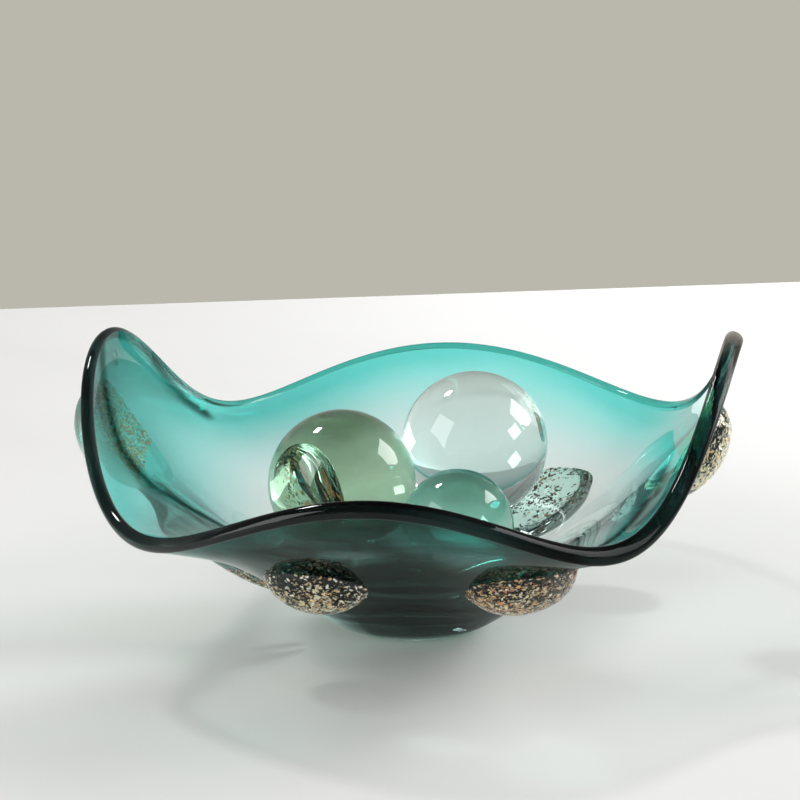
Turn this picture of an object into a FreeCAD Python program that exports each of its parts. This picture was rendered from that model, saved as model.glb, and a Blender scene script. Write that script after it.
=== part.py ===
"""A hand-blown art glass bowl with a waved rim and three loose glass balls.

The bowl stands on the XY plane, its foot is centred on the origin, and +Z is up.
Lengths are millimetres. A bearing is an angle in degrees, counter-clockwise from +X, seen from above.
"""

import FreeCAD, Part
import math
import os

V = FreeCAD.Vector

# The two faces of the wall run smoothly through these rings, from the foot up to the shoulder.
# Each ring: outer radius and height, inner radius and height, and the share of the rim's waves that
# it follows in radius and in height.
RINGS = {
    "foot": (28, 0, 22, 27, 0, 0),
    "heel": (38, 0, 40, 27, 0, 0),
    "haunch": (62, 17, 62, 35, 0, 0),
    "belly": (98, 44, 92.5, 55, 0.03, 0.06),
    "flank": (140, 72, 137, 77.8, 0.13, 0.25),
    "shoulder": (175, 91, 170.5, 95, 0.45, 0.58),
}

# The rim rises and falls around the bowl as a sum of waves. Each wave, by its count of crests in a
# turn: size in radius and the bearing of a crest, then the same in height.
RIM_WAVES = {
    1: (5.7, 53, 2.2, -86),
    2: (23.2, 73.4, 22.8, -5),
    3: (3.6, -46, 6.1, 21.5),
    4: (2.9, -4, 23.5, -5.5),
}

# Lumps of hot glass pressed on the outside. Each: bearing, climb (0 at the foot, 1 at the rim), half
# its length up the wall, half its width round the wall, half its depth through the wall, and its
# turn away from straight up. The left lump runs on into a long tail.
LUMPS = {
    "left": (181.5, 0.85, 35, 27, 27, 0),
    "left_tail": (193, 0.6, 55, 15, 15, 11),
    "front_left": (243, 0.56, 23, 28, 20, -12),
    "front_right": (302, 0.56, 24, 34, 20, -12),
    "right": (352, 0.82, 31, 27, 21, 0),
    "back_right": (43.5, 0.505, 34, 33, 22, 0),
    "back": (97, 0.55, 25, 28, 20, 0),
}

# Loose glass balls: radius, then the place of the centre.
BALLS = {
    "left": (40, -38.0, 21.5, 72.7),
    "right": (40, 34.2, 57.1, 85.5),
    "small": (30, 24.4, -7.0, 57.4),
}

# Single sizes: value and meaning.
SIZES = {
    "rim_radius": (185, "mean radius of the middle of the wall's end"),
    "rim_height": (108.5, "mean height of the middle of the wall's end"),
    "end_step_in": (5, "how far the inner edge of the wall's end stands inside the outer edge"),
    "end_step_up": (4, "how far the inner edge of the wall's end stands above the outer edge"),
    "wrap_reach": (5.5, "how far the poles of the rim wrap reach past the wall's end"),
    "wrap_half_width": (4.4, "half the width of the rim wrap's poles across the wall"),
    "wrap_swell": (0.27, "share by which the rim wrap grows towards its thickest side"),
    "wrap_swell_bearing": (-40, "bearing of the rim wrap's thickest side"),
    "lump_sink": (4, "how far the middle of a lump lies inside the wall's outer face"),
    "leaf_thickness": (0.3, "thickness of the layer of gold leaf flakes"),
    "leaf_share": (0.86, "size of the leaf layer as a share of its lump"),
    "roof_height": (190, "top of the filled shape that trims the lumps"),
}

RING_COLUMNS = ("outer_radius", "outer_height", "inner_radius", "inner_height")
RING_COLUMNS += ("radius_share", "height_share")
WAVE_COLUMNS = ("radius_wave", "radius_crest", "height_wave", "height_crest")
LUMP_COLUMNS = ("bearing", "climb", "half_length", "half_width", "half_depth", "turn")
BALL_COLUMNS = ("radius", "x", "y", "z")

# The rim wrap's section from the wall's outer edge to the middle of its bead: the first number is
# a share of its half width and the second a share of its reach. The other half mirrors it.
WRAP_SECTION = ((1, 0.05), (1, 0.6), (0.5, 1))

# The bearings at which the wall's section is worked out.
BEARINGS = [math.radians(10 * step) for step in range(36)]

# The way the outer face grows, as shares outwards and downwards: about at a right angle to it.
GROW_OUT, GROW_DOWN = 0.6, 0.8

# A small step in climb or in radians of bearing, to find which way the outer face runs.
PROBE = 0.001


def sheet_rows():
    """Every driving dimension as alias, value and note."""
    tables = (("ring", RINGS, RING_COLUMNS), ("rim", RIM_WAVES, WAVE_COLUMNS))
    tables += (("lump", LUMPS, LUMP_COLUMNS), ("ball", BALLS, BALL_COLUMNS))
    for kind, table, columns in tables:
        for name, values in table.items():
            for column, value in zip(columns, values):
                yield f"{kind}_{name}_{column}", value, f"{kind} {name}: {column}"
    for alias, (value, note) in SIZES.items():
        yield alias, value, note


def make_sheet(doc):
    """The spreadsheet that holds the driving dimensions."""
    sheet = doc.addObject("Spreadsheet::Sheet", "Sizes")
    for row, (alias, value, note) in enumerate(sheet_rows(), start=1):
        sheet.set(f"A{row}", note)
        sheet.set(f"B{row}", str(value))
        sheet.setAlias(f"B{row}", alias)
    doc.recompute()
    return sheet


class Bowl:
    """The bowl's faces, worked out from the spreadsheet."""

    def __init__(self, sheet):
        self.sheet = sheet

    def size(self, alias):
        return float(getattr(self.sheet, alias))

    def wave(self, kind, bearing):
        """How far the rim stands off its mean radius or height at a bearing."""
        total = 0
        for count in RIM_WAVES:
            crest = math.radians(self.size(f"rim_{count}_{kind}_crest"))
            total += self.size(f"rim_{count}_{kind}_wave") * math.cos(count * (bearing - crest))
        return total

    def ring_point(self, face, name, bearing):
        """Radius and height of one ring of the outer or the inner face."""
        radius = self.size(f"ring_{name}_{face}_radius")
        height = self.size(f"ring_{name}_{face}_height")
        radius += self.size(f"ring_{name}_radius_share") * self.wave("radius", bearing)
        height += self.size(f"ring_{name}_height_share") * self.wave("height", bearing)
        return radius, height

    def rim_point(self, across, along, bearing):
        """Radius and height of a place at the wall's end.

        across is 0 in the middle, 1 at the outer edge and -1 at the inner edge; along is a distance
        past the wall's end, at a right angle to the line between its edges.
        """
        half_in = self.size("end_step_in") / 2
        half_up = self.size("end_step_up") / 2
        span = math.hypot(half_in, half_up)
        radius = self.size("rim_radius") + self.wave("radius", bearing)
        height = self.size("rim_height") + self.wave("height", bearing)
        radius += across * half_in + along * half_up / span
        height += along * half_in / span - across * half_up
        return radius, height

    def profile(self, face, bearing):
        """The poles of one face from the foot or floor to the wall's end, as radius and height."""
        poles = [self.ring_point(face, name, bearing) for name in RINGS]
        edge = 1 if face == "outer" else -1
        return poles + [self.rim_point(edge, 0, bearing)]

    def wrap_profile(self, bearing):
        """The poles round the rim wrap's section, from the wall's outer edge to its inner edge."""
        turn = bearing - math.radians(self.size("wrap_swell_bearing"))
        swell = 1 + self.size("wrap_swell") * math.cos(turn)
        reach = self.size("wrap_reach") * swell
        span = math.hypot(self.size("end_step_in"), self.size("end_step_up")) / 2
        wide = self.size("wrap_half_width") * swell / span
        half = [(1, 0)] + [(across * wide, along * reach) for across, along in WRAP_SECTION]
        other = [(-across, along) for across, along in reversed(half)]
        return [self.rim_point(across, along, bearing) for across, along in half + other]

    def face_point(self, bearing, climb):
        """A place on the outer face: climb is 0 at the foot and 1 at the rim."""
        spread = Part.BSplineCurve()
        poles = self.profile("outer", bearing)
        across, ahead = math.cos(bearing), math.sin(bearing)
        points = [V(radius * across, radius * ahead, height) for radius, height in poles]
        knots, counts = clamped_knots(len(points), 3)
        spread.buildFromPolesMultsKnots(points, counts, knots, False, 3)
        return spread.value(climb)


def clamped_knots(rows, degree):
    """Even knots for a curve that starts and ends on its first and last poles."""
    spans = rows - degree
    knots = [step / spans for step in range(spans + 1)]
    counts = [degree + 1] + [1] * (spans - 1) + [degree + 1]
    return knots, counts


def ring_spline(radius_heights):
    """A closed smooth curve round the bowl, through one point at every bearing."""
    points = []
    for bearing, (radius, height) in zip(BEARINGS, radius_heights):
        points.append(V(radius * math.cos(bearing), radius * math.sin(bearing), height))
    spline = Part.BSplineCurve()
    spline.interpolate(Points=points, PeriodicFlag=True, Parameters=list(range(len(points) + 1)))
    return spline


def skin(profiles, degree=3):
    """A closed band of surface: one profile of radius and height poles at every bearing."""
    splines = [ring_spline(row) for row in zip(*profiles)]
    poles = [list(column) for column in zip(*[spline.getPoles() for spline in splines])]
    knots, counts = clamped_knots(len(splines), degree)
    surface = Part.BSplineSurface()
    surface.buildFromPolesMultsKnots(
        poles,
        splines[0].getMultiplicities(),
        counts,
        splines[0].getKnots(),
        knots,
        True,
        False,
        3,
        degree,
    )
    return surface.toShape(), splines


def disc(spline):
    """The flat face inside a level ring."""
    return Part.Face(Part.Wire(spline.toShape()))


def closed_solid(faces):
    """One solid from faces that meet edge to edge."""
    shell = Part.Shell(faces)
    shell.sewShape()
    solid = Part.Solid(shell)
    if solid.Volume < 0:
        solid.reverse()
    return solid


def wall_solid(bowl):
    """The thick glass wall with its solid floor, flat foot and open end."""
    outer, outer_rings = skin([bowl.profile("outer", bearing) for bearing in BEARINGS])
    inner, inner_rings = skin([bowl.profile("inner", bearing) for bearing in BEARINGS])
    edges = [[bowl.rim_point(1, 0, bearing), bowl.rim_point(-1, 0, bearing)] for bearing in BEARINGS]
    end, _ = skin(edges, degree=1)
    return closed_solid([outer, inner, end, disc(outer_rings[0]), disc(inner_rings[0])])


def wrap_solid(bowl):
    """The trail of dark glass that is wound round the wall's end."""
    bead, _ = skin([bowl.wrap_profile(bearing) for bearing in BEARINGS])
    edges = [[bowl.rim_point(1, 0, bearing), bowl.rim_point(-1, 0, bearing)] for bearing in BEARINGS]
    seat, _ = skin(edges, degree=1)
    return closed_solid([bead, seat])


def filled_solid(bowl, growth):
    """Everything inside the outer face, grown outwards by a small amount and roofed over."""
    grown = []
    roofs = []
    for bearing in BEARINGS:
        poles = bowl.profile("outer", bearing)
        step_out, step_down = growth * GROW_OUT, growth * GROW_DOWN
        grown.append([(radius + step_out, height - step_down) for radius, height in poles])
        top = (bowl.size("ring_foot_outer_radius"), bowl.size("roof_height"))
        roofs.append([grown[-1][-1], top])
    side, side_rings = skin(grown)
    roof, roof_rings = skin(roofs, degree=1)
    return closed_solid([side, roof, disc(side_rings[0]), disc(roof_rings[-1])])


def add_shape(doc, name, shape):
    """A feature that holds a shape made from the sheet's sizes."""
    feature = doc.addObject("Part::Feature", name)
    feature.Shape = shape
    feature.Placement = FreeCAD.Placement()
    return feature


def lump_placement(bowl, name):
    """Where a lump sits: its X runs up the wall, its Z points straight out of the wall."""
    bearing = math.radians(bowl.size(f"lump_{name}_bearing"))
    climb = bowl.size(f"lump_{name}_climb")
    here = bowl.face_point(bearing, climb)
    up = bowl.face_point(bearing, climb + PROBE) - here
    around = bowl.face_point(bearing + PROBE, climb) - here
    out = around.cross(up)
    out.normalize()
    up.normalize()
    turned = FreeCAD.Rotation(out, bowl.size(f"lump_{name}_turn")).multVec(up)
    rotation = FreeCAD.Rotation(turned, V(), out, "ZXY")
    return FreeCAD.Placement(here - out * bowl.size("lump_sink"), rotation)


def add_lump(doc, bowl, name, label, share=None):
    """An ellipsoid of glass; share scales its length and width."""
    lump = doc.addObject("Part::Ellipsoid", label)
    factor = f" * Sizes.{share}" if share else ""
    lump.setExpression("Radius1", f"Sizes.lump_{name}_half_depth")
    lump.setExpression("Radius2", f"Sizes.lump_{name}_half_length{factor}")
    lump.setExpression("Radius3", f"Sizes.lump_{name}_half_width{factor}")
    lump.Placement = lump_placement(bowl, name)
    return lump


def add_pair(doc, kind, name, base, tool):
    """A two-part boolean."""
    pair = doc.addObject(f"Part::{kind}", name)
    pair.Base = base
    pair.Tool = tool
    return pair


def add_prunt(doc, bowl, name, wall_fill, leaf_zone):
    """One pressed-on lump and the layer of leaf flakes that is trapped under it."""
    body = add_lump(doc, bowl, name, f"lump_{name}")
    leaf_body = add_lump(doc, bowl, name, f"leaf_lump_{name}", "leaf_share")
    tail = f"{name}_tail"
    if tail in LUMPS:
        body = add_pair(doc, "Fuse", f"joined_{name}", body, add_lump(doc, bowl, tail, f"lump_{tail}"))
        leaf_tail = add_lump(doc, bowl, tail, f"leaf_lump_{tail}", "leaf_share")
        leaf_body = add_pair(doc, "Fuse", f"joined_leaf_{name}", leaf_body, leaf_tail)
    leaf = add_pair(doc, "Common", f"gold_leaf_{name}", leaf_body, leaf_zone)
    trimmed = add_pair(doc, "Cut", f"trimmed_{name}", body, wall_fill)
    prunt = add_pair(doc, "Cut", f"prunt_{name}", trimmed, leaf)
    return [prunt, leaf]


def add_ball(doc, name):
    """One loose solid glass ball."""
    ball = doc.addObject("Part::Sphere", f"glass_ball_{name}")
    ball.setExpression("Radius", f"Sizes.ball_{name}_radius")
    for axis in "xyz":
        ball.setExpression(f"Placement.Base.{axis}", f"Sizes.ball_{name}_{axis}")
    return ball


def build(doc):
    """Every sub-part of the bowl as a list of document objects."""
    bowl = Bowl(make_sheet(doc))
    parts = [
        add_shape(doc, "bowl_wall", wall_solid(bowl)),
        add_shape(doc, "rim_wrap", wrap_solid(bowl)),
    ]
    wall_fill = add_shape(doc, "wall_fill", filled_solid(bowl, 0))
    grown_fill = add_shape(doc, "grown_fill", filled_solid(bowl, bowl.size("leaf_thickness")))
    leaf_zone = add_pair(doc, "Cut", "leaf_zone", grown_fill, wall_fill)
    for name in LUMPS:
        if not name.endswith("_tail"):
            parts += add_prunt(doc, bowl, name, wall_fill, leaf_zone)
    parts += [add_ball(doc, name) for name in BALLS]
    doc.recompute()
    return parts


def check(doc, parts):
    """Stop if any object failed or any sub-part is not a sound solid."""
    for item in doc.Objects:
        if "Invalid" in item.State or "Error" in item.State:
            raise RuntimeError(f"{item.Name} did not build")
    for part in parts:
        if part.Shape.isNull() or not part.Shape.isValid() or not part.Shape.Solids:
            raise RuntimeError(f"{part.Label} is not a valid solid")
        print(part.Label, len(part.Shape.Solids), "solid(s)", round(part.Shape.Volume / 1000, 2), "cm3")


def export(parts):
    """One STEP file for each sub-part, named after it."""
    os.makedirs("parts", exist_ok=True)
    for part in parts:
        part.Shape.exportStep(f"parts/{part.Label}.step")


document = FreeCAD.newDocument("glass_bowl")
sub_parts = build(document)
check(document, sub_parts)
export(sub_parts)
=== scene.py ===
"""The looks of the art glass bowl: hot-worked glass, trapped metal leaf and loose glass balls.

Lengths in the tables are millimetres and bearings are degrees, counter-clockwise from +X seen from
above. A climb is a place up the wall's side, from 0 at the edge of the flat foot to 1 at the rim.
Blender's own units are metres, so every mesh is scaled by MM as it is made.
"""

import math
from collections import namedtuple

import bmesh
import bpy
import numpy as np
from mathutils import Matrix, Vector


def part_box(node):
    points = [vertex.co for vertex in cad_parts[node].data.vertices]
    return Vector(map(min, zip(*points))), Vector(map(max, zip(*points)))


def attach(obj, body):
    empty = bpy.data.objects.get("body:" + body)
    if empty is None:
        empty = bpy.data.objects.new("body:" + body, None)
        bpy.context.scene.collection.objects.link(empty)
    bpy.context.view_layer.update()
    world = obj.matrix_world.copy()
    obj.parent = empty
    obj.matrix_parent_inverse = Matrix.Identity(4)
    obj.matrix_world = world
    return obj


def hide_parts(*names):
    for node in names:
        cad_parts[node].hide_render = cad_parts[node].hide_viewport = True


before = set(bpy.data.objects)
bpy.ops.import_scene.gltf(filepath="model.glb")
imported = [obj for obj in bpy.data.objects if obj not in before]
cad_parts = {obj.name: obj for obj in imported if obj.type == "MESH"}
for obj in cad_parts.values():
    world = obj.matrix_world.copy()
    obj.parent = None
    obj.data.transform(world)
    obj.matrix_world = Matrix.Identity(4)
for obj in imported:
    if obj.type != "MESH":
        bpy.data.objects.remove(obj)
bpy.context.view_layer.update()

MM = 0.001
SEED = 11
# Stands for a height where there is no lump.
FAR_BELOW = -1e3

# ---------------------------------------------------------------- sizes of the wall and the lip

# The wall's two faces, ring by ring from the foot up to the shoulder, as in the part's own design:
# outer radius and height, inner radius and height, and the rings' share of the rim's waves in radius
# and in height. OUTER and INNER are the places of a face's radius, and its height comes next.
OUTER, INNER = 0, 2
RINGS = (
    (28, 0, 22, 27, 0, 0),
    (38, 0, 40, 27, 0, 0),
    (62, 17, 62, 35, 0, 0),
    (98, 44, 92.5, 55, 0.03, 0.06),
    (140, 72, 137, 77.8, 0.13, 0.25),
    (175, 91, 170.5, 95, 0.45, 0.58),
)
# Waves of the rim by their count of crests: size in radius, its crest, size in height, its crest.
# RADIAL and VERTICAL are the places of the sizes.
RADIAL, VERTICAL = 0, 2
RIM_WAVES = ((5.7, 53, 2.2, -86), (23.2, 73.4, 22.8, -5), (3.6, -46, 6.1, 21.5), (2.9, -4, 23.5, -5.5))
RIM_RADIUS, RIM_HEIGHT = 185, 108.5
# How far the wall's cut end runs inwards and upwards.
END_IN, END_UP = 5, 4
# The lip stands this far off the wall's end and is this wide; it is thicker towards one bearing.
WRAP_REACH, WRAP_HALF_WIDTH, WRAP_SWELL, WRAP_SWELL_BEARING = 5.5, 4.4, 0.27, -40
# The length of the wall from foot to rim, and the length of one degree round it.
WALL_LENGTH, DEGREE_LENGTH = 210, 2.8
# The unevenness of the wall's hand-worked inside: its size and its count of waves.
SWELL, SWELL_WAVES = 0.5, 14
# A trapped air bubble: bearing, climb, and half its width, length and depth.
BUBBLE = (171, 0.968, 3.4, 4.8, 2.6)
# How far a ball is out of round, for its radius.
BALL_UNEVEN = 0.0004

# Points of the meshes: round and up the wall, across the lip, round and up a lump, a bubble, a ball.
COLUMNS, ROWS = 480, 110
WRAP_ROWS = 33
LUMP_COLUMNS, LUMP_ROWS = 192, 48
BUBBLE_COLUMNS, BUBBLE_ROWS = 24, 13
BALL_COLUMNS, BALL_ROWS = 128, 65

# ---------------------------------------------------------------- sizes of the lumps and the leaf

Lump = namedtuple("Lump", "bearing climb half_length half_width half_depth turn")
LUMPS = {
    "left": (Lump(181.5, 0.85, 35, 27, 27, 0), Lump(193, 0.6, 55, 15, 15, 11)),
    "front_left": (Lump(243, 0.56, 23, 28, 20, -12),),
    "front_right": (Lump(302, 0.56, 24, 34, 20, -12),),
    "right": (Lump(352, 0.82, 31, 27, 21, 0),),
    "back_right": (Lump(43.5, 0.505, 34, 33, 22, 0),),
    "back": (Lump(97, 0.55, 25, 28, 20, 0),),
}
# The bearing and climb inside a lump of two ellipsoids from which all of its edge is in sight.
LUMP_MIDDLES = {"left": (186, 0.76)}
# How deep a lump's middle is sunk in the wall, and how far its foot runs out softly.
LUMP_SINK, LUMP_SKIRT = 4, 2.5
# The search for a lump's edge: its reach in radians and in climb, its steps and its halvings.
SEARCH_BEARING, SEARCH_CLIMB = 0.9, 0.45
SEARCH_STEPS, SEARCH_HALVINGS = 60, 24
# The left lump's tail melts into the wall: how fully, and the heights between which it does.
TAIL_VEIL = 0.85
TAIL_TOP, TAIL_TOP_FADE = 112, 15
TAIL_FOOT, TAIL_FOOT_FADE = 55, 10

# The trapped leaf of each lump: flakes per square millimetre, size of a flake, darkest and brightest
# tone (0 is black, 0.4 bronze, 0.6 copper gold, 0.8 cream, 1 silver), share of black flakes, spread
# of a clump in millimetres, lowest and highest climb, and how high it lies between the joint (0) and
# the skin (1). Leaf at level 0 is set just inside the wall. The dark tones of the left and back_right
# leaf, and the back_right share of black flakes, are painted shade for leaf seen against the light
# from inside the bowl.
Leaf = namedtuple("Leaf", "density size darkest brightest blackened spread lowest highest level")
LEAF = {
    "left": Leaf(0.9, 1.05, 0.36, 0.47, 0.0, 5, 0.79, 0.96, 0.0),
    "left_tail": Leaf(0.9, 1.0, 0.5, 0.9, 0.4, 5, 0.3, 0.48, 0.6),
    "front_left": Leaf(1.15, 1.2, 0.6, 1.0, 0.28, 5, 0.3, 0.72, 0.85),
    "front_right": Leaf(1.3, 1.25, 0.47, 0.85, 0.2, 5, 0.3, 0.72, 0.85),
    "right": Leaf(1.4, 1.5, 0.75, 0.95, 0.05, 6, 0.79, 1.0, 0.85),
    "back_right": Leaf(0.25, 1.0, 0.0, 0.3, 0.5, 2.5, 0.3, 0.8, 0.0),
    "back": Leaf(0.25, 1.0, 0.1, 0.6, 0.2, 3, 0.3, 0.8, 0.0),
}
# A flake's corners, its length for its width, and the flakes in a clump.
CORNERS, FLAKE_STRETCH, CLUMP = 5, 1.5, 14
# The smallest flake and the range of sizes above it, for a flake of size 1.
FLAKE_SMALLEST, FLAKE_RANGE = 0.3, 0.9
# How far a flake tilts, how far a corner strays round it, a corner's reach and the peaks' height.
FLAKE_TILT, CORNER_SWAY = 0.4, 0.3
CORNER_REACH, CRUMPLE = (0.6, 1.3), (0.04, 0.12)
# How far a clump's tone strays, and the tone of a black flake, for black leaf and painted shade alike.
CLUMP_TONE, BLACK_TONE = 0.2, 0.05
# The least height of a lump over leaf, the ragged top of the leaf in climb, and the glass over it.
LEAF_INSET, LEAF_RAGGED, LEAF_COVER = 1.2, 0.012, 0.9
# How unevenly leaf lies, its least height over the joint, and its height inside the wall.
LEAF_UNEVEN, LEAF_LEAST, LEAF_IN_WALL = 0.08, 0.3, -1.0

# ---------------------------------------------------------------- colours by place

# How strong the teal cast of a lump or a ball is. The small ball's teal is painted: it stands for
# the teal bowl seen through the clear ball.
AQUA = {"back_right": 0.9, "back": 0.6, "small_ball": 1.0}
# The teal reaches lower down the wall in the lobe at this bearing and in the one across from it.
TEAL_SIDE, TEAL_LEAN, TEAL_EXTRA = 158, 0.065, 0.06
# The front of the wall is darkened with painted shade: how far round from the front its middle lies,
# how sharply it ends at the sides and how narrow that leaves it, the climb where it starts, its rise
# from there, and its darkness.
FRONT_TURN, FRONT_SLOPE, FRONT_LEVEL = 10, 3, -1.45
FRONT_START, FRONT_RISE = 0.03, 8
FRONT_SHADE = 0.96
# How much of the outside's shine a place of painted shade loses.
OUTSIDE_VEIL = 0.65
# The lip is black in front and teal behind: the turn of its dark side, its level and its slope.
DARK_TURN, DARK_LEVEL, DARK_SLOPE = 2, 1.35, 2.2
# Right of the bowl the lip's dark glass thins out above this height, over this many millimetres,
# and turns light grey: partly thinner glass, partly painted sheen.
PEAK_FROM, PEAK_FADE, PEAK_SLOPE = 132, 26, 3
# The bearing where the lip's surface is least shiny, and how far that reaches.
DULL_SIDE, DULL_SPREAD = 303, 36

# Clear windows in the front's painted shade: bearing, climb, half width in degrees, half height,
# clearness.
CLEARINGS = ((278, 0.87, 9, 0.12, 0.75), (258.5, 0.8, 7, 0.05, 0.85))
# Where a window's edge lies for its half width, and how sharp it is.
CLEARING_SIZE, CLEARING_SLOPE = 1.25, 1.8
# Places where the teal is deeper: bearing, climb, half width in degrees, half height, added depth.
TEAL_PATCHES = (
    (196, 0.58, 30, 0.24, 0.16),
    (165, 0.55, 22, 0.22, 0.1),
    (46, 1.0, 18, 0.2, 0.05),
    (2, 0.83, 30, 0.12, 0.17),
)
# Trails of painted shade in the lobes: from bearing and climb to bearing and climb, width, darkness.
SHADE_TRAILS = (
    (154, 0.985, 137, 0.92, 6, 0.8),
    (179, 1.0, 183, 0.93, 12, 0.85),
    (183, 0.93, 190, 0.87, 8, 0.95),
    (190, 0.87, 194.5, 0.78, 8, 0.95),
    (194.5, 0.78, 196.5, 0.56, 7, 0.92),
    (150, 1.02, 188, 0.98, 28, 0.55),
    (128, 0.92, 112, 0.85, 38, 0.13),
    (165, 0.95, 196, 0.6, 34, 0.2),
    (313, 0.79, 335, 0.75, 5, 0.85),
    (335, 0.78, 352, 0.74, 5, 0.6),
    (322, 0.83, 332, 0.86, 7, 0.6),
)


# ---------------------------------------------------------------- shape of the wall


def rim_offset(bearings, way):
    """How far the rim stands off its mean radius (RADIAL) or height (VERTICAL) at some bearings."""
    total = 0
    for count, wave in enumerate(RIM_WAVES, start=1):
        total = total + wave[way] * np.cos(count * (bearings - math.radians(wave[way + 1])))
    return total


def spline_weights(poles, climbs, degree=3):
    """Weights of a clamped even spline's poles at some climbs from 0 to 1."""
    knots = np.r_[np.zeros(degree), np.linspace(0, 1, poles - degree + 1), np.ones(degree)]
    climbs = np.atleast_1d(np.asarray(climbs, float))
    weights = np.array([(climbs >= low) & (climbs < high) for low, high in zip(knots, knots[1:])], float)
    weights[poles - 1][climbs >= 1] = 1
    for order in range(1, degree + 1):
        lifted = []
        for index in range(len(weights) - 1):
            rise = knots[index + order] - knots[index]
            fall = knots[index + order + 1] - knots[index + 1]
            value = np.zeros_like(climbs)
            if rise:
                value += (climbs - knots[index]) / rise * weights[index]
            if fall:
                value += (knots[index + order + 1] - climbs) / fall * weights[index + 1]
            lifted.append(value)
        weights = np.array(lifted)
    return weights


def rim_place(across, along, bearings):
    """Radius and height at the wall's end: across is 1 at the outer edge and -1 at the inner one."""
    half_in, half_up = END_IN / 2, END_UP / 2
    span = math.hypot(half_in, half_up)
    radius = RIM_RADIUS + rim_offset(bearings, RADIAL) + across * half_in + along * half_up / span
    height = RIM_HEIGHT + rim_offset(bearings, VERTICAL) - across * half_up + along * half_in / span
    return radius, height


def profile(face, bearings):
    """The poles of the OUTER or INNER face, as radii and heights by bearing."""
    poles = []
    for ring in RINGS:
        radial_share, vertical_share = ring[4:]
        radius = ring[face] + radial_share * rim_offset(bearings, RADIAL)
        height = ring[face + 1] + vertical_share * rim_offset(bearings, VERTICAL)
        poles.append((radius, height))
    poles.append(rim_place(1 if face == OUTER else -1, 0, bearings))
    return np.array(poles)


def around(radius, height, bearings):
    """Points from radii and heights at bearings."""
    return np.stack([radius * np.cos(bearings), radius * np.sin(bearings), height], -1)


def swept(poles, climbs):
    """Radii and heights of the splines through poles, for every climb (rows) and bearing (columns)."""
    weights = spline_weights(len(poles), climbs)
    return [np.einsum("pc,pb->cb", weights, poles[:, part]) for part in (0, 1)]


def face_grid(face, bearings, climbs):
    """Points of one face for every climb (rows) and bearing (columns)."""
    radius, height = swept(profile(face, bearings), climbs)
    return around(radius, height, bearings)


def face_points(face, bearings, climbs):
    """One point of a face for each pair of bearing and climb."""
    poles = profile(face, bearings)
    weights = spline_weights(len(poles), climbs)
    radius = (weights * poles[:, 0]).sum(0)
    height = (weights * poles[:, 1]).sum(0)
    return around(radius, height, bearings)


def outer_frame(bearing, climb, step=1e-3):
    """A point of the outer face with its directions up the wall, round the bowl and outwards."""
    bearings = np.array([bearing, bearing, bearing + step])
    climbs = np.array([climb, climb + step, climb])
    here, up, turn = face_points(OUTER, bearings, climbs)
    up, turn = up - here, turn - here
    out = np.cross(turn, up)
    out /= np.linalg.norm(out)
    up /= np.linalg.norm(up)
    return here, up, np.cross(out, up), out


def outer_normals(bearings, climbs, step=1e-3):
    """Outward unit normals of the outer face."""
    above = face_points(OUTER, bearings, np.minimum(climbs + step, 1))
    up = above - face_points(OUTER, bearings, climbs - step)
    turn = face_points(OUTER, bearings + step, climbs) - face_points(OUTER, bearings, climbs)
    out = np.cross(turn, up)
    return out / np.linalg.norm(out, axis=-1, keepdims=True)


# ---------------------------------------------------------------- meshes


def new_piece(name, points, faces, materials, slots=None, body="bowl", sharp=()):
    """A smooth mesh object that rides on a body."""
    mesh = bpy.data.meshes.new(name)
    mesh.from_pydata((np.asarray(points) * MM).tolist(), [], faces)
    for material in materials:
        mesh.materials.append(material)
    mesh.polygons.foreach_set("use_smooth", [True] * len(mesh.polygons))
    if slots is not None:
        mesh.polygons.foreach_set("material_index", slots)
    if sharp:
        wanted = {tuple(sorted(pair)) for pair in sharp}
        flags = [tuple(sorted(edge.vertices)) in wanted for edge in mesh.edges]
        mesh.attributes.new("sharp_edge", "BOOLEAN", "EDGE").data.foreach_set("value", flags)
    mesh.update()
    piece = bpy.data.objects.new(name, mesh)
    bpy.context.scene.collection.objects.link(piece)
    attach(piece, body)
    return piece


def band_faces(rows, columns, start=0):
    """Quads between rows of points; the columns close into a ring."""
    faces = []
    for row in range(rows - 1):
        low, high = start + row * columns, start + (row + 1) * columns
        for column in range(columns):
            after = (column + 1) % columns
            faces.append((low + column, low + after, high + after, high + column))
    return faces


def shell_faces(rings, columns, start=0):
    """The faces of a closed shell: from one pole, over rings of points, to the other pole."""
    last = start + 1 + rings * columns
    faces = [(start, start + 1 + (column + 1) % columns, start + 1 + column) for column in range(columns)]
    faces += band_faces(rings, columns, start=start + 1)
    base = last - columns
    faces += [(base + column, base + (column + 1) % columns, last) for column in range(columns)]
    return faces


def ring_edges(start, columns):
    """The edges of one closed row of points."""
    return [(start + column, start + (column + 1) % columns) for column in range(columns)]


def set_value(piece, name, values):
    """A number on every point, for the materials."""
    layer = piece.data.attributes.new(name, "FLOAT", "POINT")
    layer.data.foreach_set("value", np.asarray(values, np.float32))


def swell(bearings, climbs):
    """The slight unevenness of hand-worked glass, as an offset for every climb and bearing."""
    rng = np.random.default_rng(SEED)
    offset = np.zeros((len(climbs), len(bearings)))
    for _ in range(SWELL_WAVES):
        turns = rng.integers(2, 11)
        lifts = rng.uniform(1, 7)
        phase = rng.uniform(0, 2 * math.pi)
        offset += np.cos(turns * bearings[None, :] + lifts * climbs[:, None] * 2 + phase) / (turns + lifts)
    fade = np.clip(climbs * 4, 0, 1) * np.clip((1 - climbs) * 12, 0, 1)
    return SWELL * offset * fade[:, None]


def grid_normals(grid):
    """Unit normals of a closed grid of points."""
    turn = np.roll(grid, -1, 1) - np.roll(grid, 1, 1)
    up = np.gradient(grid, axis=0)
    out = np.cross(turn, up)
    return out / np.maximum(np.linalg.norm(out, axis=-1, keepdims=True), 1e-9)


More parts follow.
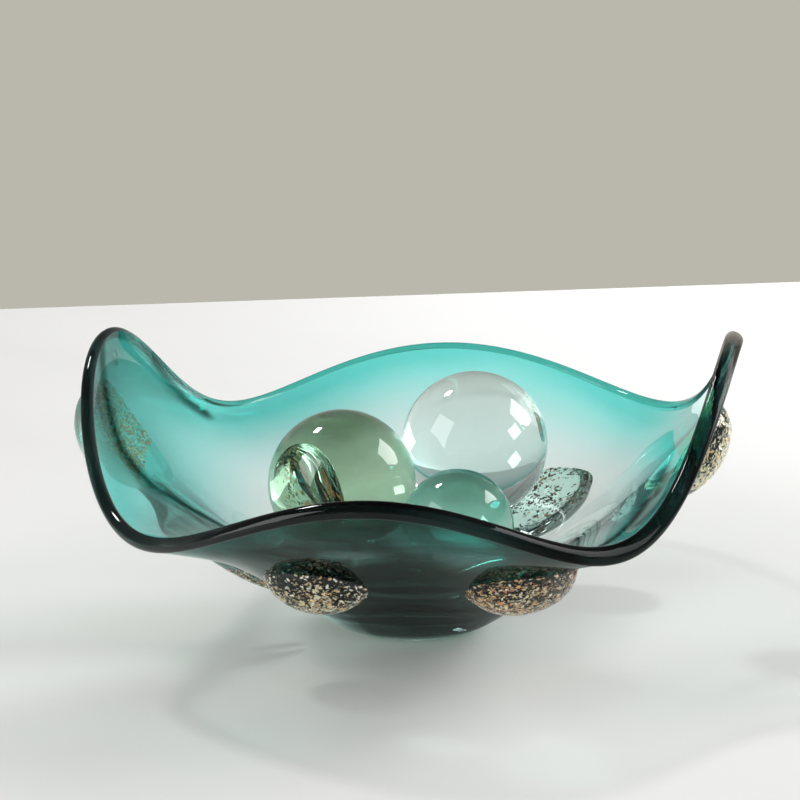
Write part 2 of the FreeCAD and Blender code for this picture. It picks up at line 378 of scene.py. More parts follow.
def fix_outside(piece):
    """Turn the whole mesh's faces outwards."""
    work = bmesh.new()
    work.from_mesh(piece.data)
    if work.calc_volume(signed=True) < 0:
        bmesh.ops.reverse_faces(work, faces=work.faces)
        work.to_mesh(piece.data)
    work.free()


def stand_for(node):
    """The piece takes the place of a CAD node."""
    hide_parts(node)


# ---------------------------------------------------------------- shape of the lumps


def lump_frame(lump):
    """The centre, axes and half sizes of one ellipsoid of glass."""
    here, up, side, out = outer_frame(math.radians(lump.bearing), lump.climb)
    angle = math.radians(lump.turn)
    along = up * math.cos(angle) + side * math.sin(angle)
    axes = np.array([along, np.cross(out, along), out])
    halves = np.array([lump.half_length, lump.half_width, lump.half_depth])
    return here - out * LUMP_SINK, axes, halves


def lump_height(name, bearings, climbs):
    """How far each place of a lump stands off the wall along the wall's normal, below 0 outside it."""
    here = face_points(OUTER, bearings, climbs)
    out = outer_normals(bearings, climbs)
    best = np.full(len(here), FAR_BELOW)
    for lump in LUMPS[name]:
        centre, axes, halves = lump_frame(lump)
        start = (here - centre) @ axes.T / halves
        along = out @ axes.T / halves
        square = (along**2).sum(1)
        cross = (start * along).sum(1)
        inside = cross**2 - square * ((start**2).sum(1) - 1)
        reach = np.where(inside > 0, (-cross + np.sqrt(np.maximum(inside, 0))) / square, FAR_BELOW)
        best = np.maximum(best, reach)
    return best


def melted(height):
    """A lump's height with its foot run out softly into the wall."""
    height = np.maximum(height, 0)
    return height**2 / (height + LUMP_SKIRT)


def footprint(name, count):
    """The edge of a lump on the wall: its middle, and the way from there to a closed line of places.

    Each place is a bearing in radians and a climb.
    """
    bearing, climb = LUMP_MIDDLES.get(name, LUMPS[name][0][:2])
    middle = np.array([math.radians(bearing), climb])
    angles = np.linspace(0, 2 * math.pi, count, endpoint=False)
    reach = np.stack([np.cos(angles) * SEARCH_BEARING, np.sin(angles) * SEARCH_CLIMB], 1)

    def is_outside(share):
        return lump_height(name, middle[0] + reach[:, 0] * share, middle[1] + reach[:, 1] * share) < 0

    steps = np.linspace(0, 1, SEARCH_STEPS)
    first = np.argmax(np.stack([is_outside(step) for step in steps]), axis=0)
    low, high = steps[np.maximum(first - 1, 0)], steps[first]
    for _ in range(SEARCH_HALVINGS):
        halfway = (low + high) / 2
        outside = is_outside(halfway)
        high = np.where(outside, halfway, high)
        low = np.where(outside, low, halfway)
    return middle, reach * low[:, None]


def lump_skin(name, bearings, climbs):
    """Points of a lump's skin, and the points of the wall under them."""
    foot = face_points(OUTER, bearings, climbs)
    height = melted(lump_height(name, bearings, climbs))
    return foot + outer_normals(bearings, climbs) * height[:, None], foot


# ---------------------------------------------------------------- materials


def new_material(name):
    """An empty node material."""
    material = bpy.data.materials.new(name)
    material.use_nodes = True
    material.node_tree.nodes.clear()
    return material


def named(sockets, identifier):
    """The one of a node's sockets that has this identifier."""
    return next(socket for socket in sockets if socket.identifier == identifier)


class Nodes:
    """Short calls for building one material's nodes."""

    def __init__(self, material):
        self.tree = material.node_tree

    def add(self, kind, inputs=None, **settings):
        """A node of one kind, with its inputs filled and its settings set."""
        node = self.tree.nodes.new(kind)
        for key, value in settings.items():
            setattr(node, key, value)
        for key, value in (inputs or {}).items():
            self.put(node.inputs[key], value)
        return node

    def put(self, socket, value):
        """Fill an input with a value or with another node's output."""
        if isinstance(value, bpy.types.NodeSocket):
            self.tree.links.new(value, socket)
        else:
            socket.default_value = value

    def attribute(self, name):
        """A number that set_value gave to the points."""
        return self.add("ShaderNodeAttribute", attribute_name=name).outputs["Fac"]

    def math(self, operation, *values, clamp=False):
        """The result of a sum on values."""
        node = self.add("ShaderNodeMath", operation=operation, use_clamp=clamp)
        for index, value in enumerate(values):
            self.put(node.inputs[index], value)
        return node.outputs[0]

    def ramp(self, factor, stops):
        """Colours that follow a factor from stop to stop."""
        node = self.add("ShaderNodeValToRGB", {"Fac": factor})
        points = node.color_ramp.elements
        while len(points) < len(stops):
            points.new(0.5)
        for point, (place, colour) in zip(points, stops):
            point.position = place
            point.color = (*colour, 1)
        return node.outputs["Color"]

    def mix_colour(self, factor, first, second):
        """From the first colour at 0 to the second at 1."""
        node = self.add("ShaderNodeMix", data_type="RGBA")
        self.put(node.inputs["Factor"], factor)
        for socket, colour in (("A_Color", first), ("B_Color", second)):
            value = (*colour, 1) if isinstance(colour, tuple) else colour
            self.put(named(node.inputs, socket), value)
        return named(node.outputs, "Result_Color")

    def noise(self, scale, detail=2.0, **inputs):
        """Smooth noise fixed to the object."""
        place = self.add("ShaderNodeTexCoord").outputs["Object"]
        values = {"Vector": place, "Scale": scale, "Detail": detail, **inputs}
        return self.add("ShaderNodeTexNoise", values).outputs["Fac"]

    def mix_shader(self, factor, first, second):
        """From the first shader at 0 to the second at 1."""
        return self.add("ShaderNodeMixShader", {0: factor, 1: first, 2: second}).outputs[0]

    def transparent(self, colour):
        """A surface that only tints what is behind it."""
        colour = (*colour, 1) if isinstance(colour, tuple) else colour
        return self.add("ShaderNodeBsdfTransparent", {"Color": colour}).outputs[0]

    def output(self, shader, absorbed=None):
        """Finish the material; absorbed is the light lost per metre of glass in red, green and blue."""
        inputs = {"Surface": shader}
        if absorbed:
            density = max(absorbed)
            colour = [1 - lost / density for lost in absorbed]
            volume = self.add("ShaderNodeVolumeAbsorption", {"Color": (*colour, 1), "Density": density})
            inputs["Volume"] = volume.outputs[0]
        self.add("ShaderNodeOutputMaterial", inputs)


def bump(nodes, height, strength, distance):
    """Small unevenness of a surface, in metres."""
    inputs = {"Height": height, "Strength": strength, "Distance": distance}
    return nodes.add("ShaderNodeBump", inputs).outputs[0]


def glass_shader(nodes, colour, index=1.5, shade=None, normal=None):
    """Glass that tints what is seen through it and lets tinted light through to the table."""
    inputs = {"Base Color": colour, "IOR": index, "Roughness": 0.0, "Transmission Weight": 1.0}
    if normal is not None:
        inputs["Normal"] = normal
    glass = nodes.add("ShaderNodeBsdfPrincipled", inputs).outputs[0]
    passing = nodes.transparent(colour if shade is None else shade)
    path = nodes.add("ShaderNodeLightPath").outputs
    unseen = nodes.math("MAXIMUM", path["Is Shadow Ray"], path["Is Diffuse Ray"])
    return nodes.mix_shader(unseen, glass, passing)


def wall_glass():
    """Teal glass, pale low down and deep near the rim, with dark parts of painted shade.

    Its outside can't be seen where a lump is fused on, and shines less where it is veiled.
    """
    material = new_material("teal_glass")
    nodes = Nodes(material)
    cloud = nodes.math("MULTIPLY_ADD", nodes.noise(14, 3), 0.08, -0.04)
    climb = nodes.math("ADD", nodes.attribute("teal"), cloud)
    teal = nodes.ramp(
        climb,
        (
            (0.0, (0.55, 0.80, 0.76)),
            (0.4, (0.94, 0.99, 0.985)),
            (0.62, (0.96, 1.0, 0.99)),
            (0.75, (0.80, 0.98, 0.965)),
            (0.85, (0.60, 0.96, 0.94)),
            (0.94, (0.34, 0.92, 0.88)),
            (1.0, (0.17, 0.82, 0.76)),
        ),
    )
    # Painted shade darkens the front, trails in the lobes and the bubble's edge, and the shadows cast
    # through them.
    painted_shade = nodes.attribute("painted_shade")
    dark = nodes.ramp(climb, ((0.45, (0.007, 0.016, 0.014)), (0.8, (0.025, 0.10, 0.08))))
    colour = nodes.mix_colour(painted_shade, teal, dark)
    shadows = ((0.35, (0.3, 0.36, 0.33)), (0.6, (0.99, 1.0, 0.99)), (1.0, (0.86, 0.92, 0.89)))
    shade = nodes.mix_colour(painted_shade, nodes.ramp(climb, shadows), (0.4, 0.43, 0.41))
    glass = glass_shader(nodes, colour, shade=shade)
    covered = nodes.math("GREATER_THAN", nodes.attribute("covered"), 0.0)
    veiled = nodes.math("MAXIMUM", covered, nodes.attribute("veil"))
    nodes.output(nodes.mix_shader(veiled, glass, nodes.transparent(colour)), (4, 2, 2.3))
    return material


def fused_joint():
    """A joint between two fused pieces of glass, which can't be seen."""
    material = new_material("fused_joint")
    nodes = Nodes(material)
    tint = nodes.ramp(nodes.noise(30), ((0.0, (1, 1, 1)), (1.0, (0.97, 0.99, 0.985))))
    nodes.output(nodes.transparent(tint))
    return material


def wrap_glass():
    """Lip glass: near black in front, teal like the wall behind, hazy grey where thin, partly painted
    sheen.
    """
    material = new_material("dark_rim_glass")
    nodes = Nodes(material)
    colour = nodes.ramp(
        nodes.attribute("dark"),
        (
            (0.0, (0.07, 0.47, 0.41)),
            (0.35, (0.20, 0.27, 0.25)),
            (0.7, (0.02, 0.02, 0.018)),
            (1.0, (0.004, 0.004, 0.004)),
        ),
    )
    # The light grey at the right peak's top is partly thinner glass and partly painted sheen.
    thin_and_sheen = nodes.math("MULTIPLY", nodes.attribute("thin_and_sheen"), 0.9)
    colour = nodes.mix_colour(thin_and_sheen, colour, (0.62, 0.60, 0.57))
    index = nodes.math("MULTIPLY_ADD", nodes.attribute("dull"), -0.27, 1.38)
    glass = glass_shader(nodes, colour, index)
    nodes.output(nodes.mix_shader(thin_and_sheen, glass, nodes.transparent(colour)))
    return material


def prunt_glass():
    """Clear, very slightly green glass with slow waves, melted into the wall where it is veiled."""
    material = new_material("prunt_glass")
    nodes = Nodes(material)
    clear = nodes.ramp(nodes.noise(40), ((0.3, (0.84, 0.90, 0.87)), (0.7, (0.93, 0.96, 0.94))))
    colour = nodes.mix_colour(nodes.attribute("aqua"), clear, (0.50, 0.84, 0.74))
    waves = bump(nodes, nodes.noise(60, 1.5), 0.25, 0.002)
    glass = glass_shader(nodes, colour, shade=(0.99, 1.0, 0.99), normal=waves)
    nodes.output(nodes.mix_shader(nodes.attribute("veil"), glass, nodes.transparent(colour)), (6, 3, 4))
    return material


def leaf_metal():
    """Broken gold and silver leaf: every flake has its own tone."""
    material = new_material("metal_leaf")
    nodes = Nodes(material)
    colour = nodes.ramp(
        nodes.attribute("tone"),
        (
            (0.0, (0.02, 0.02, 0.012)),
            (0.2, (0.10, 0.08, 0.04)),
            (0.4, (0.72, 0.28, 0.17)),
            (0.5, (0.88, 0.47, 0.22)),
            (0.6, (0.92, 0.61, 0.28)),
            (0.8, (0.98, 0.88, 0.60)),
            (1.0, (0.97, 0.96, 0.92)),
        ),
    )
    crumple = bump(nodes, nodes.noise(900), 0.6, 0.0006)
    inputs = {"Base Color": colour, "Metallic": 0.35, "Roughness": 0.3, "Normal": crumple}
    metal = nodes.add("ShaderNodeBsdfPrincipled", inputs).outputs[0]
    in_shadow = nodes.add("ShaderNodeLightPath").outputs["Is Shadow Ray"]
    nodes.output(nodes.mix_shader(in_shadow, metal, nodes.transparent((0.95, 0.95, 0.94))))
    return material


def ball_glass(name, high, low, absorbed):
    """Polished solid ball glass, faintly clouded, coloured high up and low down; a dark top is painted
    shade.
    """
    material = new_material(name)
    nodes = Nodes(material)
    cloud = nodes.math("MULTIPLY_ADD", nodes.noise(18, 3), 0.3, -0.15)
    place = nodes.math("ADD", nodes.attribute("height"), cloud)
    colour = nodes.ramp(place, ((0.6, low), (0.97, high)))
    colour = nodes.mix_colour(nodes.attribute("aqua"), colour, (0.38, 0.70, 0.59))
    nodes.output(glass_shader(nodes, colour), absorbed)
    return material


def table_stone():
    """Pale, faintly veined table top."""
    material = new_material("pale_table")
    nodes = Nodes(material)
    cloud = nodes.noise(1.6, 6, Distortion=0.6)
    colour = nodes.ramp(cloud, ((0.3, (0.74, 0.735, 0.72)), (0.6, (0.80, 0.795, 0.785))))
    inputs = {"Base Color": colour, "Roughness": 0.45}
    nodes.output(nodes.add("ShaderNodeBsdfPrincipled", inputs).outputs[0])
    return material


# ---------------------------------------------------------------- wall and lip


def lump_cover(bearings, climbs):
    """Above 0 where a lump covers the outer face, for every climb and bearing."""
    all_bearings, all_climbs = np.meshgrid(bearings, climbs)
    best = np.full(all_bearings.size, FAR_BELOW)
    for name in LUMPS:
        best = np.maximum(best, lump_height(name, all_bearings.ravel(), all_climbs.ravel()))
    return np.clip(best, -2, 2).reshape(all_bearings.shape)


def teal_patches(turns, levels):
    """Extra depth of the teal in a few places."""
    extra = np.zeros_like(turns)
    for bearing, climb, half_width, half_height, depth in TEAL_PATCHES:
        aside = (turns - bearing + 180) % 360 - 180
        off = np.hypot(aside / half_width, (levels - climb) / half_height)
        extra += depth * np.exp(-(off**2))
    return extra


def front_veil(turns, levels):
    """How far a place belongs to the painted shade on the front of the outer face."""
    front = np.clip(-np.sin(np.radians(turns - FRONT_TURN)) * FRONT_SLOPE + FRONT_LEVEL, 0, 1)
    return front * np.clip((levels - FRONT_START) * FRONT_RISE, 0, 1)


def front_shade(turns, levels):
    """The painted shade on the front of the outer face, with its clearer windows."""
    painted_shade = FRONT_SHADE * front_veil(turns, levels)
    waver = 0.12 * np.sin(turns * 0.5 + 7 * levels) + 0.1 * np.sin(22 * levels - turns * 0.3)
    for bearing, climb, half_width, half_height, clearness in CLEARINGS:
        off = np.hypot((turns - bearing) / half_width, (levels - climb) / half_height)
        painted_shade *= 1 - clearness * np.clip((CLEARING_SIZE + waver - off) * CLEARING_SLOPE, 0, 1)
    return painted_shade


def trail_shade(turns, levels):
    """Trails of painted shade in the left and right lobes."""
    painted_shade = np.zeros_like(turns)
    place = np.stack([turns * DEGREE_LENGTH, levels * WALL_LENGTH], -1)
    for first_turn, first_climb, last_turn, last_climb, width, darkness in SHADE_TRAILS:
        first = np.array([first_turn * DEGREE_LENGTH, first_climb * WALL_LENGTH])
        line = np.array([last_turn * DEGREE_LENGTH, last_climb * WALL_LENGTH]) - first
        along = np.clip((place - first) @ line / (line @ line), 0, 1)
        away = np.linalg.norm(place - first - along[..., None] * line, axis=-1)
        painted_shade = np.maximum(painted_shade, darkness * np.exp(-((away / width) ** 2)))
    return painted_shade


def bubble_mesh(start):
    """The points of the bubble inside the wall, and its faces numbered from start."""
    bearing, climb, half_width, half_length, half_depth = BUBBLE
    outside, up, side, out = outer_frame(math.radians(bearing), climb)
    inside = face_points(INNER, np.array([math.radians(bearing)]), np.array([climb]))[0]
    centre = (outside + inside) / 2
    points = [centre - out * half_depth]
    for angle in np.linspace(-math.pi / 2, math.pi / 2, BUBBLE_ROWS)[1:-1]:
        for turn in np.linspace(0, 2 * math.pi, BUBBLE_COLUMNS, endpoint=False):
            flat = side * half_width * math.cos(turn) + up * half_length * math.sin(turn)
            points.append(centre + flat * math.cos(angle) + out * half_depth * math.sin(angle))
    points.append(centre + out * half_depth)
    faces = shell_faces(BUBBLE_ROWS - 2, BUBBLE_COLUMNS, start)
    return np.array(points), [face[::-1] for face in faces]


def set_wall_values(wall, bearings, climbs, bubble_size):
    """Where the wall is teal, has painted shade, is veiled and covered by a lump, inside and outside."""
    turns, levels = np.meshgrid(np.degrees(bearings), climbs)
    lean = TEAL_EXTRA + TEAL_LEAN * np.cos(2 * (bearings - math.radians(TEAL_SIDE)))
    teal = levels + lean + teal_patches(turns, levels)
    trails = trail_shade(turns, levels)
    painted_shade = np.maximum(front_shade(turns, levels), trails)
    veil = OUTSIDE_VEIL * np.maximum(front_veil(turns, levels), trails)
    cover = lump_cover(bearings, climbs)
    # For each value: the inside, the outside, the middles of floor and foot, and the bubble.
    layers = {
        "teal": (teal, teal, 0, 0.5),
        "covered": (np.full_like(cover, -2), cover, -2, -2),
        # The bubble's darkness is painted shade for its dark edge.
        "painted_shade": (trails, painted_shade, 0, 0.45),
        "veil": (trails, veil, 0, 0),
    }
    for name, (inside, outside, middle, bubble) in layers.items():
        values = [[middle], inside.ravel(), outside[::-1].ravel(), [middle], np.full(bubble_size, bubble)]
        set_value(wall, name, np.concatenate(values))


def build_wall(glass, joint):
    """The wall from the middle of the floor, over the rim's end, to the middle of the foot."""
    bearings = np.linspace(0, 2 * math.pi, COLUMNS, endpoint=False)
    climbs = np.linspace(0, 1, ROWS)
    inner = face_grid(INNER, bearings, climbs)
    inner = inner - grid_normals(inner) * swell(bearings, climbs)[..., None]
    outer = face_grid(OUTER, bearings, climbs)[::-1]
    floor, foot = [[0, 0, inner[0, 0, 2]]], [[0, 0, 0]]
    bubble, bubble_faces = bubble_mesh(2 + 2 * ROWS * COLUMNS)
    points = np.concatenate([floor, inner.reshape(-1, 3), outer.reshape(-1, 3), foot, bubble])
    faces = shell_faces(2 * ROWS, COLUMNS) + bubble_faces
    rim_end = range(ROWS * COLUMNS, (ROWS + 1) * COLUMNS)
    slots = [int(index in rim_end) for index in range(len(faces))]
    sharp = ring_edges(1 + (ROWS - 1) * COLUMNS, COLUMNS) + ring_edges(1 + ROWS * COLUMNS, COLUMNS)
    wall = new_piece("bowl_wall_glass", points, faces, [glass, joint], slots, sharp=sharp)
    fix_outside(wall)
    set_wall_values(wall, bearings, climbs, len(bubble))
    stand_for("bowl_wall")


def wrap_section(bearings):
    """Radii and heights of the lip's round side, from the outer to the inner edge of the wall's end."""
    growth = 1 + WRAP_SWELL * np.cos(bearings - math.radians(WRAP_SWELL_BEARING))
    wide = WRAP_HALF_WIDTH * growth / (math.hypot(END_IN, END_UP) / 2)
    reach = WRAP_REACH * growth
    half = [(1 + 0 * wide, 0 * reach), (wide, reach * 0.05), (wide, reach * 0.6), (wide / 2, reach)]
    other_half = [(-across, along) for across, along in reversed(half)]
    poles = np.array([rim_place(across, along, bearings) for across, along in half + other_half])
    return swept(poles, np.linspace(0, 1, WRAP_ROWS))


def set_wrap_values(wrap, bearings, height):
    """Where the lip is dark, grey where thin with painted sheen, and dull."""
    dark = np.clip(DARK_LEVEL - DARK_SLOPE * np.sin(bearings - math.radians(DARK_TURN)), 0, 1)
    peak = np.clip((height - PEAK_FROM) / PEAK_FADE, 0, 1)
    right = np.clip(PEAK_SLOPE * np.cos(bearings), 0, 1)
    dull = np.exp(-((np.degrees(bearings) - DULL_SIDE) / DULL_SPREAD) ** 2)
    set_value(wrap, "dark", np.tile(dark, WRAP_ROWS))
    set_value(wrap, "thin_and_sheen", (peak * right).ravel())
    set_value(wrap, "dull", np.tile(dull, WRAP_ROWS))


def build_wrap(glass, joint):
    """The rounded trail of dark glass along the rim."""
    bearings = np.linspace(0, 2 * math.pi, COLUMNS, endpoint=False)
    radius, height = wrap_section(bearings)
    points = around(radius, height, bearings).reshape(-1, 3)
    faces = [face[::-1] for face in band_faces(WRAP_ROWS, COLUMNS)]
    last = (WRAP_ROWS - 1) * COLUMNS
    seat = [(after, after + last, column + last, column) for column, after in ring_edges(0, COLUMNS)]
    slots = [0] * len(faces) + [1] * len(seat)
    sharp = ring_edges(0, COLUMNS) + ring_edges(last, COLUMNS)
    wrap = new_piece("rim_wrap_glass", points, faces + seat, [glass, joint], slots, sharp=sharp)
    fix_outside(wrap)
    set_wrap_values(wrap, bearings, height)
    stand_for("rim_wrap")


# ---------------------------------------------------------------- lumps and leaf


def tail_veil(name, heights):
    """Where the left lump's tail is melted into the wall."""
    if name != "left":
        return np.zeros_like(heights)
    below_top = np.clip((TAIL_TOP - heights) / TAIL_TOP_FADE, 0, 1)
    above_foot = np.clip((heights - TAIL_FOOT) / TAIL_FOOT_FADE, 0, 1)
    return TAIL_VEIL * (below_top * above_foot)


def build_prunt(name, glass, joint):
    """A lump of clear glass on the wall, closed by the joint where it is fused on."""
    middle, edge = footprint(name, LUMP_COLUMNS)
    dome, seat = [], []
    for share in np.sin(np.linspace(0, math.pi / 2, LUMP_ROWS))[1:]:
        skin, foot = lump_skin(name, middle[0] + edge[:, 0] * share, middle[1] + edge[:, 1] * share)
        dome.append(skin if share < 1 else foot)
        seat.append(foot)
    top, centre = lump_skin(name, middle[:1], middle[1:])
    points = np.concatenate([top, *dome, *seat[-2::-1], centre])
    faces = shell_faces(len(dome) + len(seat) - 1, LUMP_COLUMNS)
    slots = [int(index >= len(dome) * LUMP_COLUMNS) for index in range(len(faces))]
    sharp = ring_edges(1 + (len(dome) - 1) * LUMP_COLUMNS, LUMP_COLUMNS)
    prunt = new_piece(f"{name}_prunt_glass", points, faces, [glass, joint], slots, sharp=sharp)
    fix_outside(prunt)
    set_value(prunt, "veil", tail_veil(name, points[:, 2]))
    set_value(prunt, "aqua", np.full(len(points), AQUA.get(name, 0.0)))
    stand_for(f"prunt_{name}")


def leaf_places(name, leaf, rng):
    """Bearing, climb, size and tone of every flake in one zone of a lump, in loose clumps."""
    middle, edge = footprint(name, LUMP_COLUMNS // 2)
    low, high = middle + edge.min(0), middle + edge.max(0)
    ends = face_points(OUTER, np.array([low[0], high[0]]), np.array([middle[1], middle[1]]))
    width = np.linalg.norm(ends[1] - ends[0])
    length = (high[1] - low[1]) * WALL_LENGTH
    clumps = int(leaf.density * width * length / CLUMP)
    count = clumps * CLUMP
    bearings = np.repeat(rng.uniform(low[0], high[0], clumps), CLUMP)
    climbs = np.repeat(rng.uniform(low[1], high[1], clumps), CLUMP)
    tones = np.repeat(rng.uniform(-CLUMP_TONE, CLUMP_TONE, clumps), CLUMP)
    bearings = bearings + rng.normal(0, leaf.spread * (high[0] - low[0]) / width, count)
    climbs = climbs + rng.normal(0, leaf.spread / WALL_LENGTH, count)
    tones = tones + leaf.darkest + (leaf.brightest - leaf.darkest) * rng.beta(1.3, 1.1, count)
    black_clumps = np.repeat(rng.random(clumps) < leaf.blackened, CLUMP)
    black_flakes = rng.random(count) < leaf.blackened / 2
    tones = np.where(black_clumps | black_flakes, BLACK_TONE, np.clip(tones, 0, 1))
    sizes = leaf.size * (FLAKE_SMALLEST + FLAKE_RANGE * rng.beta(1.3, 2.5, count))
    inside = lump_height(name, bearings, climbs) > LEAF_INSET
    top = leaf.highest + rng.normal(0, LEAF_RAGGED, count)
    keep = inside & (climbs > leaf.lowest) & (climbs < top)
    return bearings[keep], climbs[keep], sizes[keep], tones[keep]


def leaf_lift(name, bearings, climbs, level, rng):
    """How far each flake stands off the wall."""
    uneven = rng.uniform(-LEAF_UNEVEN, LEAF_UNEVEN, len(bearings))
    if level == 0:
        return np.full(len(bearings), LEAF_IN_WALL)
    room = melted(lump_height(name, bearings, climbs)) - LEAF_COVER
    return np.maximum(LEAF_LEAST, room * (level + uneven))


def flake_points(bearings, climbs, sizes, lift, rng):
    """Closed, crumpled flakes: each has ragged corners and a peak on each side."""
    count = len(bearings)
    out = outer_normals(bearings, climbs)
    here = face_points(OUTER, bearings, climbs) + out * lift[:, None]
    tilt = out + rng.normal(0, FLAKE_TILT, (count, 3))
    tilt /= np.linalg.norm(tilt, axis=1, keepdims=True)
    first = np.cross(tilt, rng.normal(size=(count, 3)))
    first /= np.linalg.norm(first, axis=1, keepdims=True)
    second = np.cross(tilt, first)
    points = np.zeros((count, CORNERS + 2, 3))
    for corner in range(CORNERS):
        angle = 2 * math.pi * (corner + rng.uniform(-CORNER_SWAY, CORNER_SWAY, count)) / CORNERS
        reach = sizes * rng.uniform(*CORNER_REACH, count)
        along, across = np.cos(angle) * reach * FLAKE_STRETCH, np.sin(angle) * reach
        points[:, corner] = here + first * along[:, None] + second * across[:, None]
    crumple = rng.uniform(*CRUMPLE, count)[:, None]
    points[:, CORNERS] = here + tilt * crumple
    points[:, CORNERS + 1] = here - tilt * crumple
    return points.reshape(-1, 3)


def flake_faces(count):
    """The faces of some flakes: a fan to each of a flake's two peaks."""
    faces = []
    for start in range(0, count * (CORNERS + 2), CORNERS + 2):
        for corner, after in ring_edges(start, CORNERS):
            faces.append((corner, after, start + CORNERS))
            faces.append((after, corner, start + CORNERS + 1))
    return faces


def build_leaf(name, metal):
    """Broken leaf trapped under a lump."""
    rng = np.random.default_rng(SEED + sum(map(ord, name)))
    points, tones = [], []
    for zone in (name, f"{name}_tail"):
        if zone in LEAF:
            bearings, climbs, sizes, tone = leaf_places(name, LEAF[zone], rng)
            lift = leaf_lift(name, bearings, climbs, LEAF[zone].level, rng)
            points.append(flake_points(bearings, climbs, sizes, lift, rng))
            tones.append(np.repeat(tone, CORNERS + 2))
    points, tones = np.concatenate(points), np.concatenate(tones)
    faces = flake_faces(len(points) // (CORNERS + 2))
    leaf = new_piece(f"{name}_leaf_flakes", points, faces, [metal])
    leaf.data.polygons.foreach_set("use_smooth", [False] * len(leaf.data.polygons))
    set_value(leaf, "tone", tones)
    stand_for(f"gold_leaf_{name}")


# ---------------------------------------------------------------- balls


def build_ball(name, glass):
    """A polished ball of solid glass, a few hundredths of a millimetre out of round."""
    low, high = (np.array(corner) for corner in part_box(f"glass_ball_{name}"))
    centre, radius = (low + high) / 2 / MM, (high - low).max() / 2 / MM
    turns = np.linspace(0, 2 * math.pi, BALL_COLUMNS, endpoint=False)
    points = [centre + (0, 0, -radius)]
    for angle in np.linspace(-math.pi / 2, math.pi / 2, BALL_ROWS)[1:-1]:
        uneven = radius * (1 + BALL_UNEVEN * np.cos(2 * turns + angle))
        reach = math.cos(angle) * uneven
        height = np.full(BALL_COLUMNS, radius * math.sin(angle))
        points += list(centre + around(reach, height, turns))
    points.append(centre + (0, 0, radius))
    faces = shell_faces(BALL_ROWS - 2, BALL_COLUMNS)
    ball = new_piece(f"{name}_ball_glass", points, faces, [glass], body=f"ball_{name}")
    fix_outside(ball)
    set_value(ball, "height", (np.array(points)[:, 2] - centre[2]) / (2 * radius) + 0.5)
    set_value(ball, "aqua", np.full(len(points), AQUA.get(f"{name}_ball", 0.0)))
    stand_for(f"glass_ball_{name}")


# ---------------------------------------------------------------- stage, light and camera

# The table's half width and front, its back edge behind the bowl, and how far that runs back at
# each end, in metres.
TABLE_REACH, TABLE_BACK, TABLE_SLANT = 6, 0.8265, 0.969
# The camera's distance in metres, its height in degrees, its lens in millimetres and its aim.
CAMERA_DISTANCE, CAMERA_ELEVATION, LENS = 2.2, 17, 183.3
AIM = Vector((-0.0065, 0, 0.1243))
BOWL_MIDDLE = (0, 0, 0.08)
# Lights: place, target, size, power in watts, and whether they are mirrored in the glass.
LIGHTS = {
    "softbox_right": ((1.64, 0.46, 1.04), BOWL_MIDDLE, (1.0, 1.0), 25, True),
    "softbox_left": ((-1.62, -0.76, 0.9), BOWL_MIDDLE, (1.2, 1.5), 23, True),
    "lamp_behind": ((-0.82, 0.84, 1.6), BOWL_MIDDLE, (0.28, 0.2), 9, True),
    "table_wash": ((0.95, 1.25, 0.5), (0.35, 0.5, 0), (0.5, 0.5), 17, False),
    "front_card": ((-0.4, -1.8, 0.4), (0, 0, 0.05), (1.2, 0.5), 16, False),
}


def build_table(material):
    """A wide pale table top that ends behind the bowl."""
    right_back, left_back = TABLE_BACK + TABLE_SLANT, TABLE_BACK - TABLE_SLANT
    front = [(-TABLE_REACH, -TABLE_REACH, 0), (TABLE_REACH, -TABLE_REACH, 0)]
    corners = front + [(TABLE_REACH, right_back, 0), (-TABLE_REACH, left_back, 0)]
    mesh = bpy.data.meshes.new("table_top")
    mesh.from_pydata(corners, [], [(0, 1, 2, 3)])
    mesh.materials.append(material)
    table = bpy.data.objects.new("table_top", mesh)
    bpy.context.scene.collection.objects.link(table)


def room_glow(nodes):
    """The colours of a dim room, brighter low down and to the right."""
    view = nodes.add("ShaderNodeTexCoord").outputs["Generated"]
    split = nodes.add("ShaderNodeSeparateXYZ", {0: view}).outputs
    stops = ((0.0, (0.5, 0.5, 0.48)), (0.35, (0.2, 0.205, 0.2)), (1.0, (0.08, 0.08, 0.08)))
    side = nodes.math("MULTIPLY_ADD", split["X"], 2.0, -0.5, clamp=True)
    return nodes.mix_colour(side, nodes.ramp(split["Z"], stops), (0.5, 0.53, 0.53))


def build_world():
    """A taupe wall for the camera, soft fill for the table and a dim room to be seen in the glass."""
    world = bpy.data.worlds.new("studio")
    bpy.context.scene.world = world
    world.use_nodes = True
    nodes = Nodes(world)
    nodes.tree.nodes.clear()
    wall = {"Color": (0.491, 0.479, 0.413, 1), "Strength": 1.0}
    fill = {"Color": (1, 0.99, 0.97, 1), "Strength": 0.22}
    room = {"Color": room_glow(nodes), "Strength": 1.0}
    wall, fill, room = (nodes.add("ShaderNodeBackground", look).outputs[0] for look in (wall, fill, room))
    path = nodes.add("ShaderNodeLightPath").outputs
    shader = nodes.mix_shader(path["Is Camera Ray"], room, wall)
    shader = nodes.mix_shader(path["Is Diffuse Ray"], shader, fill)
    nodes.add("ShaderNodeOutputWorld", {"Surface": shader})


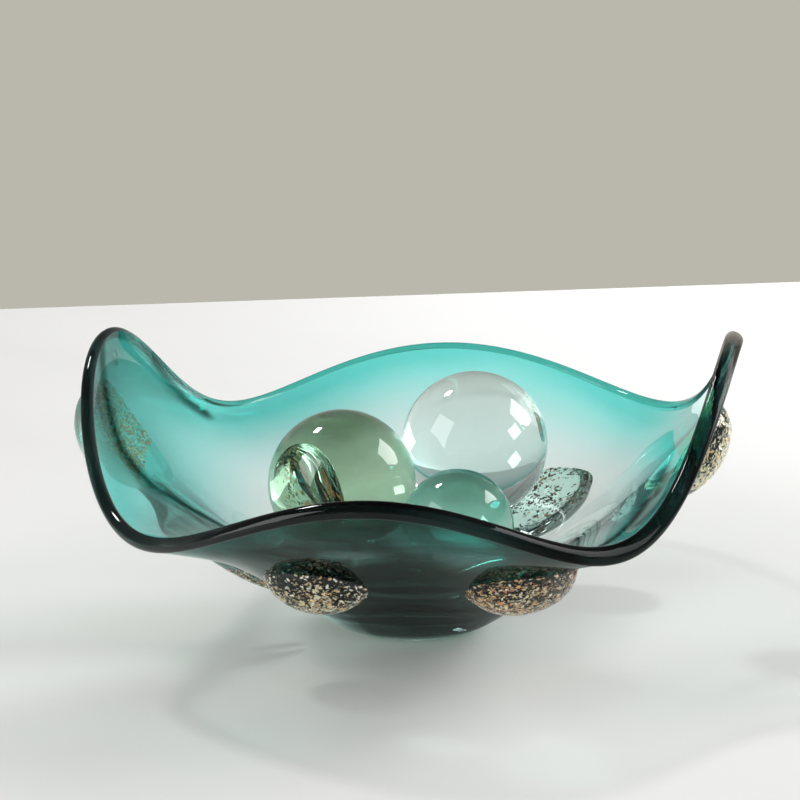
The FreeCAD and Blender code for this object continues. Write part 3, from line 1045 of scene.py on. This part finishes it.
def add_light(name, place, target, size, power, mirrored):
    """A rectangular studio light; one that is not mirrored stays unseen in the glass."""
    lamp = bpy.data.lights.new(name, "AREA")
    lamp.shape = "RECTANGLE"
    lamp.size, lamp.size_y = size
    lamp.energy = power
    holder = bpy.data.objects.new(name, lamp)
    holder.location = place
    holder.rotation_mode = "QUATERNION"
    holder.rotation_quaternion = (Vector(target) - Vector(place)).to_track_quat("-Z", "Y")
    holder.visible_camera = holder.visible_glossy = holder.visible_transmission = mirrored
    bpy.context.scene.collection.objects.link(holder)


def build_camera():
    """A long lens looking down on the bowl at the usual viewing angle."""
    data = bpy.data.cameras.new("camera")
    data.lens = LENS
    data.sensor_width = 36
    camera = bpy.data.objects.new("camera", data)
    slope = math.radians(CAMERA_ELEVATION)
    camera.location = (0, -CAMERA_DISTANCE * math.cos(slope), CAMERA_DISTANCE * math.sin(slope))
    camera.rotation_mode = "QUATERNION"
    camera.rotation_quaternion = (AIM - camera.location).to_track_quat("-Z", "Y")
    bpy.context.scene.collection.objects.link(camera)
    bpy.context.scene.camera = camera


def light_paths():
    """Enough bounces to see through several layers of glass."""
    cycles = bpy.context.scene.cycles
    cycles.max_bounces = 20
    cycles.transmission_bounces = 20
    cycles.glossy_bounces = 8
    cycles.transparent_max_bounces = 24
    cycles.caustics_refractive = False
    cycles.caustics_reflective = False
    cycles.use_denoising = True
    bpy.context.scene.view_settings.view_transform = "Standard"


def build_bowl():
    """The wall, the lip and the lumps with their leaf."""
    joint = fused_joint()
    build_wall(wall_glass(), joint)
    build_wrap(wrap_glass(), joint)
    glass, metal = prunt_glass(), leaf_metal()
    for name in LUMPS:
        build_prunt(name, glass, joint)
        build_leaf(name, metal)


def build_balls():
    """The tinted ball and the two clear ones; the small one carries painted teal for the bowl seen through
    it.
    """
    # The tinted ball's dark top is painted shade for the dark bowl floor seen upside down through it.
    tinted = ball_glass("tinted_ball_glass", (0.12, 0.16, 0.11), (0.68, 0.81, 0.71), (6, 3, 6))
    clear = ball_glass("clear_ball_glass", (0.97, 0.98, 0.97), (0.95, 0.99, 0.98), (1.5, 0.6, 0.8))
    build_ball("left", tinted)
    build_ball("right", clear)
    build_ball("small", clear)


def build_studio():
    """The table, the room, the lights and the camera."""
    build_table(table_stone())
    build_world()
    for name, settings in LIGHTS.items():
        add_light(name, *settings)
    build_camera()
    light_paths()


build_bowl()
build_balls()
build_studio()
